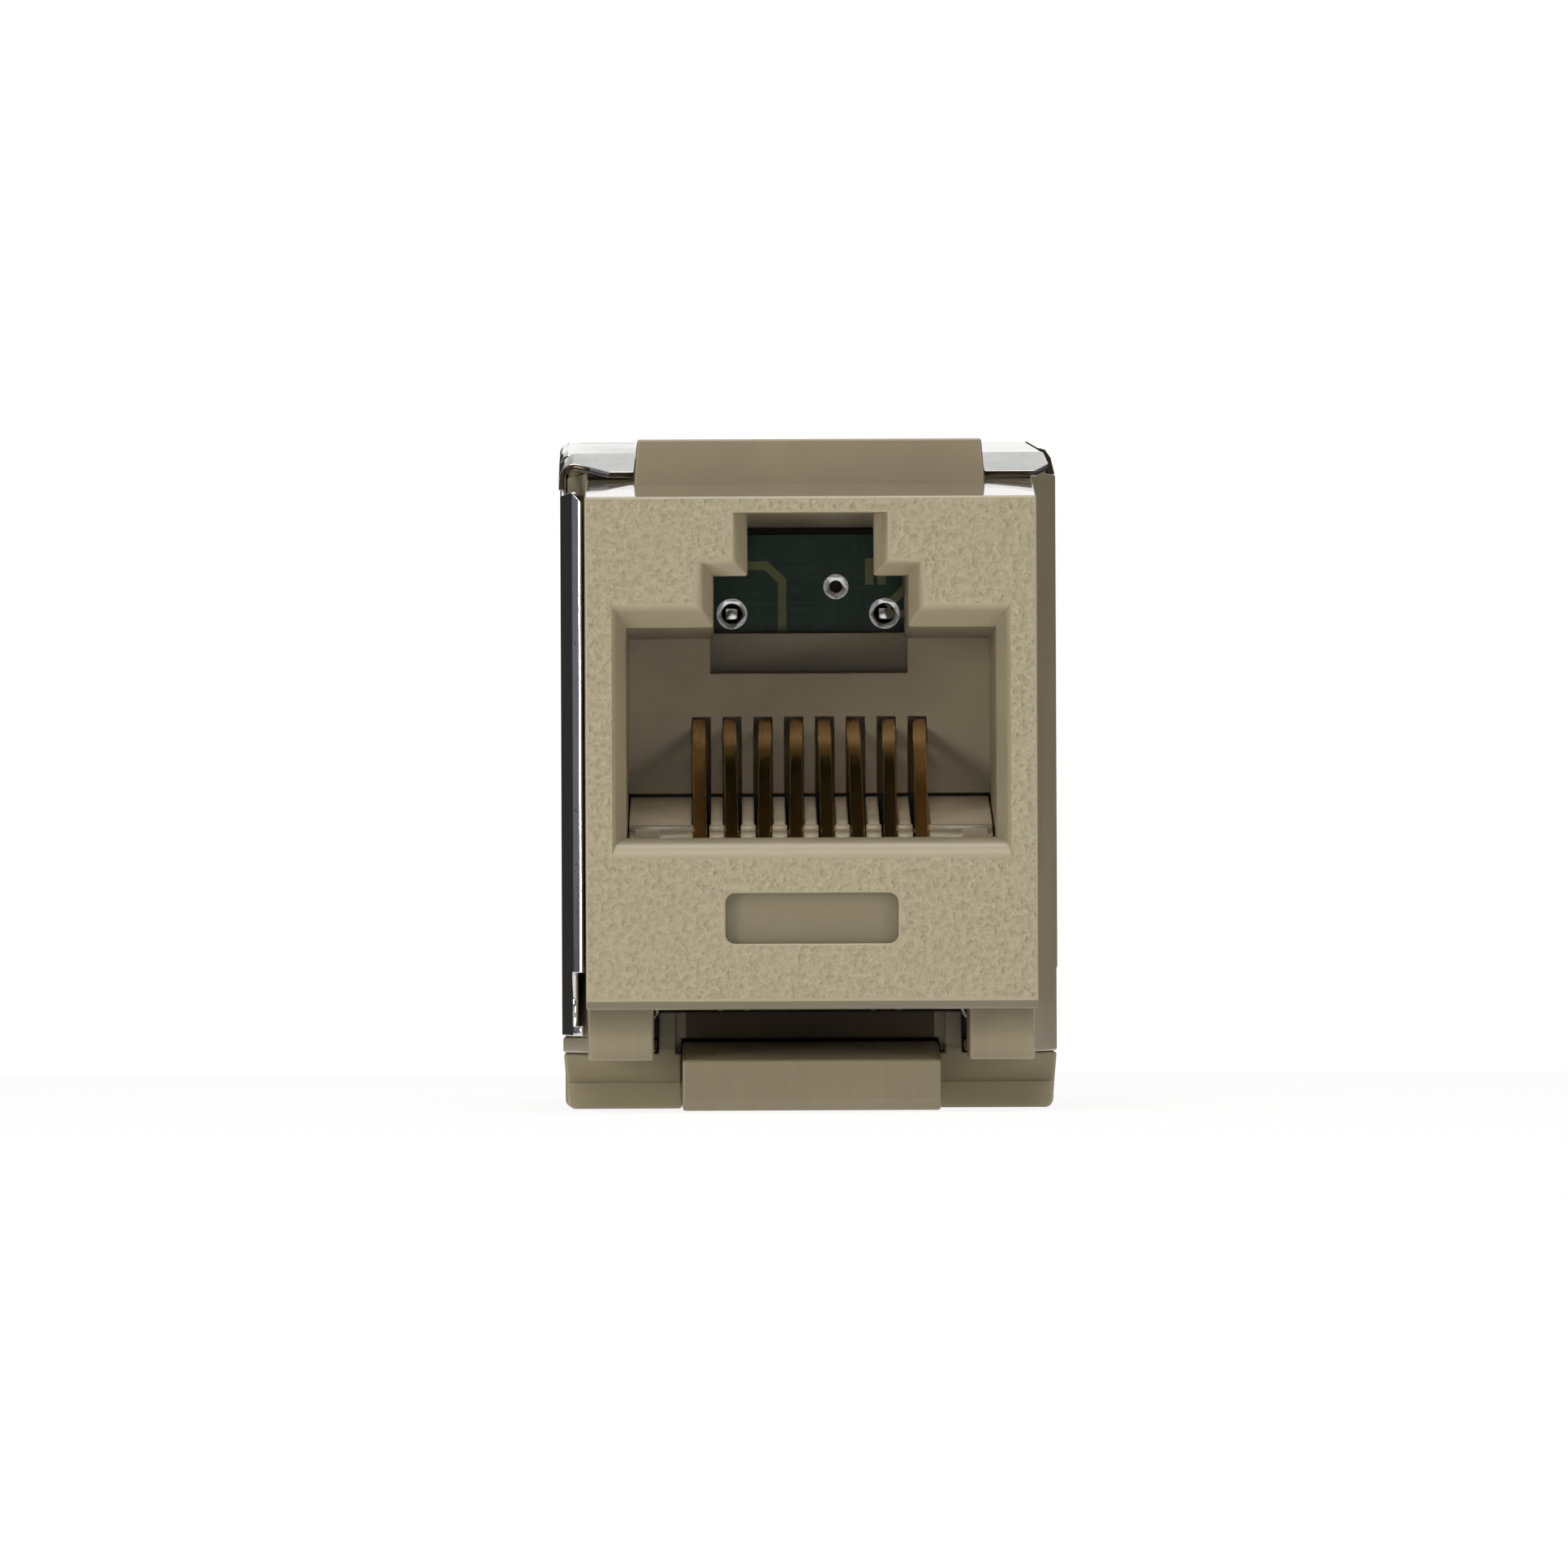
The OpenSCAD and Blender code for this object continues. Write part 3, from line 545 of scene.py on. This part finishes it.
def nickel_sheet():
    """Rolled sheet under bright nickel: grain along the strip, scuffs, and dark flecks in the plating, with
    painted shade on the cut edges.
    """
    finish = Finish("nickel_sheet", Metallic=1.0)
    rolled = finish.noise(5.0, 3.0, place=finish.stretched(0.3, 4.0, 0.3))
    cloud = finish.noise(0.7, 3.0)
    fleck = finish.noise(5.0, 3.0).ease(0.66, 0.74)
    # Painted shade: the cut edges at the ears and at the foot of the leaf are set dark brown.
    painted_shade_ear_cut = (finish.facing("Y") < CUT_FACING) * (finish.z > EAR_LOW)
    painted_shade_cut = painted_shade_ear_cut | (finish.facing("Z") < CUT_FACING) * (finish.z < LEAF_FOOT)
    shade = fleck.blend(cloud.ease(0.3, 0.7).blend(NICKEL, NICKEL_DULL), NICKEL_FLECK)
    shade = painted_shade_cut.blend(shade, CUT_EDGE_PAINTED_SHADE)
    gloss = 0.04 + 0.05 * cloud + 0.03 * rolled + 0.2 * (fleck | painted_shade_cut)
    return finish.feed(Base_Color=shade, Roughness=gloss, Normal=finish.relief(rolled, 0.002))


def bends(mesh):
    """The shallow folds of the sheet between wide faces, each with its direction."""
    folds = [e for e in mesh.edges if e.is_manifold and BEND < e.calc_face_angle() < CORNER]
    wide = [e for e in folds if min(reach_across(f, e) for f in e.link_faces) > ROOM * BEND_R]
    return [(e, (e.verts[1].co - e.verts[0].co).normalized()) for e in wide]


sheet = solid_of("shield_wrap")
rounded(sheet, [e for e, along in bends(sheet) if abs(along.z) > UPRIGHT], BEND_R, BEND_STEPS)
softened(sheet, SHEET_EDGE)
for e, along in bends(sheet):
    e.smooth = abs(along.x) < CROSSWISE
dress("shield_wrap", "folded_shield", sheet, nickel_sheet())

# Studio
# A plain pale floor under the jack and a white surround, which polished faces mirror behind the jack and
# above it, with darker cards beside it. Soft lamps stand above, in front, low at both sides and behind, and
# the floor glows a little.
FLOOR_REACH = 2.0
FLOOR_PALE = (0.95, 0.95, 0.95, 1)
FLOOR_ROUGHNESS = 0.9
SHADOW_SHARE = 0.12
SHADOW_NEAR = 40 * MM
SHADOW_FAR = 120 * MM
WEDGE = 0.1
WEDGE_IN = 12 * MM
WEDGE_OUT = 35 * MM
CARD_NEAR = 100 * MM
CARD_FAR = 250 * MM
WHITE = (1, 1, 1, 1)
DARK_ROOM = (0.08, 0.083, 0.09, 1)
SIDE_LIGHT = (0.17, 0.18, 0.20, 1)
BLACK_CARD = (0.03, 0.028, 0.026, 1)

floor_z = cad_box[0][2]
bpy.ops.mesh.primitive_plane_add(size=FLOOR_REACH, location=(0, 0, floor_z))
floor = bpy.context.object
floor.name = "floor"
floor_paint = bpy.data.materials.new("pale_floor")
floor_paint.use_nodes = True
tree = floor_paint.node_tree
paint = tree.nodes["Principled BSDF"]
paint.inputs["Base Color"].default_value = FLOOR_PALE
paint.inputs["Roughness"].default_value = FLOOR_ROUGHNESS
ray = Tone(tree)
glossy = ray.node("ShaderNodeLightPath", {}, {}, "Is Glossy Ray")
seen = glossy | ray.node("ShaderNodeLightPath", {}, {}, "Is Camera Ray")
seen = seen | ray.node("ShaderNodeLightPath", {}, {}, "Is Transmission Ray")
spot = ray.node("ShaderNodeTexCoord", {}, {}, "Object")
spot_x, spot_y = (ray.node("ShaderNodeSeparateXYZ", {}, {0: spot}, axis) for axis in "XY")
beside = (abs(spot_x) - WEDGE * abs(spot_y)).ease(WEDGE_IN, WEDGE_OUT) | spot_y.ease(CARD_NEAR, CARD_FAR)
white = ray.node("ShaderNodeEmission", {}, {"Color": (glossy * beside).blend(WHITE, BLACK_CARD)})
matt = Tone(tree, paint.outputs[0])
far = (spot_x * spot_x + spot_y * spot_y).ease(SHADOW_NEAR ** 2, SHADOW_FAR ** 2)
shown = ray.node("ShaderNodeMixShader", {}, {0: seen * (far | 1 - SHADOW_SHARE), 1: matt, 2: white})
tree.links.new(shown.socket, tree.nodes["Material Output"].inputs["Surface"])
floor.data.materials.append(floor_paint)

AMBIENT = (0.05, 0.05, 0.05, 1)
PALE_GREY = (0.50, 0.50, 0.50, 1)
GLOW_LIFT = 0.01
world = bpy.data.worlds.new("studio")
bpy.context.scene.world = world
world.use_nodes = True
air = Tone(world.node_tree)
way = air.node("ShaderNodeTexCoord", {}, {}, "Generated")
across, ahead, upward = (air.node("ShaderNodeSeparateXYZ", {}, {0: way}, axis) for axis in "XYZ")
backdrop = ahead.ease(0.2, 0.5) * (1 - (abs(across) - 0.6 * upward).ease(WEDGE / 2, WEDGE))
backdrop = backdrop * upward.ease(0.05, 0.15)
ceiling = upward.ease(0.25, 0.8).blend(WHITE, PALE_GREY)
room = (0 - across).ease(0.4, 0.8).blend(DARK_ROOM, SIDE_LIGHT)
room = ahead.ease(0.4, 0.95).blend(room, BLACK_CARD)
mirrored = (backdrop | upward.ease(0.35, 0.7)).blend(room, ceiling)
camera_ray = air.node("ShaderNodeLightPath", {}, {}, "Is Camera Ray")
glossy_ray = air.node("ShaderNodeLightPath", {}, {}, "Is Glossy Ray")
clear_ray = air.node("ShaderNodeLightPath", {}, {}, "Is Transmission Ray")
colour = glossy_ray.blend(AMBIENT, mirrored)
colour = (camera_ray | clear_ray).blend(colour, WHITE)
world.node_tree.links.new(colour.socket, world.node_tree.nodes["Background"].inputs["Color"])


def lamp(name, place, size, watts, aim=(0, 0, 0)):
    """A square soft box that faces the jack, or another aim, from a place in millimetres."""
    data = bpy.data.lights.new(name, "AREA")
    data.size = size * MM
    data.energy = watts
    box = bpy.data.objects.new(name, data)
    box.location = Vector(place) * MM
    box.rotation_euler = (Vector(aim) * MM - box.location).to_track_quat("-Z", "Y").to_euler()
    bpy.context.collection.objects.link(box)
    return box


lamp("top_box", (0, -40, 480), 300, 1.9)
lamp("key_box", (-20, -355, 277), 200, 0.56)
lamp("left_box", (-340, -340, 40), 140, 1.0)
lamp("right_box", (340, -340, 40), 140, 0.55)
lamp("back_box", (0, 438, 104), 160, 0.01)
glow = lamp("table_glow", (0, 0, floor_z / MM + GLOW_LIFT), 500, 0.30, aim=(0, 0, 500))
glow.visible_camera = False
glow.visible_glossy = False

# Camera
# It looks almost straight into the port from a little below and to the left of its axis, as the photograph
# does, with a long lens.
STAND = Vector((-2.86, -400, -5.94)) * MM
AIM = Vector((-0.885, 0, -1.146)) * MM
ROLL = math.radians(-0.24)
SENSOR = 36
LENS = 286
camera_data = bpy.data.cameras.new("camera")
camera_data.sensor_width = SENSOR
camera_data.lens = LENS
camera_data.clip_start = 10 * MM
camera = bpy.data.objects.new("camera", camera_data)
camera.location = STAND
look = (AIM - STAND).to_track_quat("-Z", "Y")
camera.rotation_euler = (look @ Quaternion((0, 0, 1), ROLL)).to_euler()
bpy.context.collection.objects.link(camera)
bpy.context.scene.camera = camera
bpy.context.scene.view_settings.view_transform = "Standard"
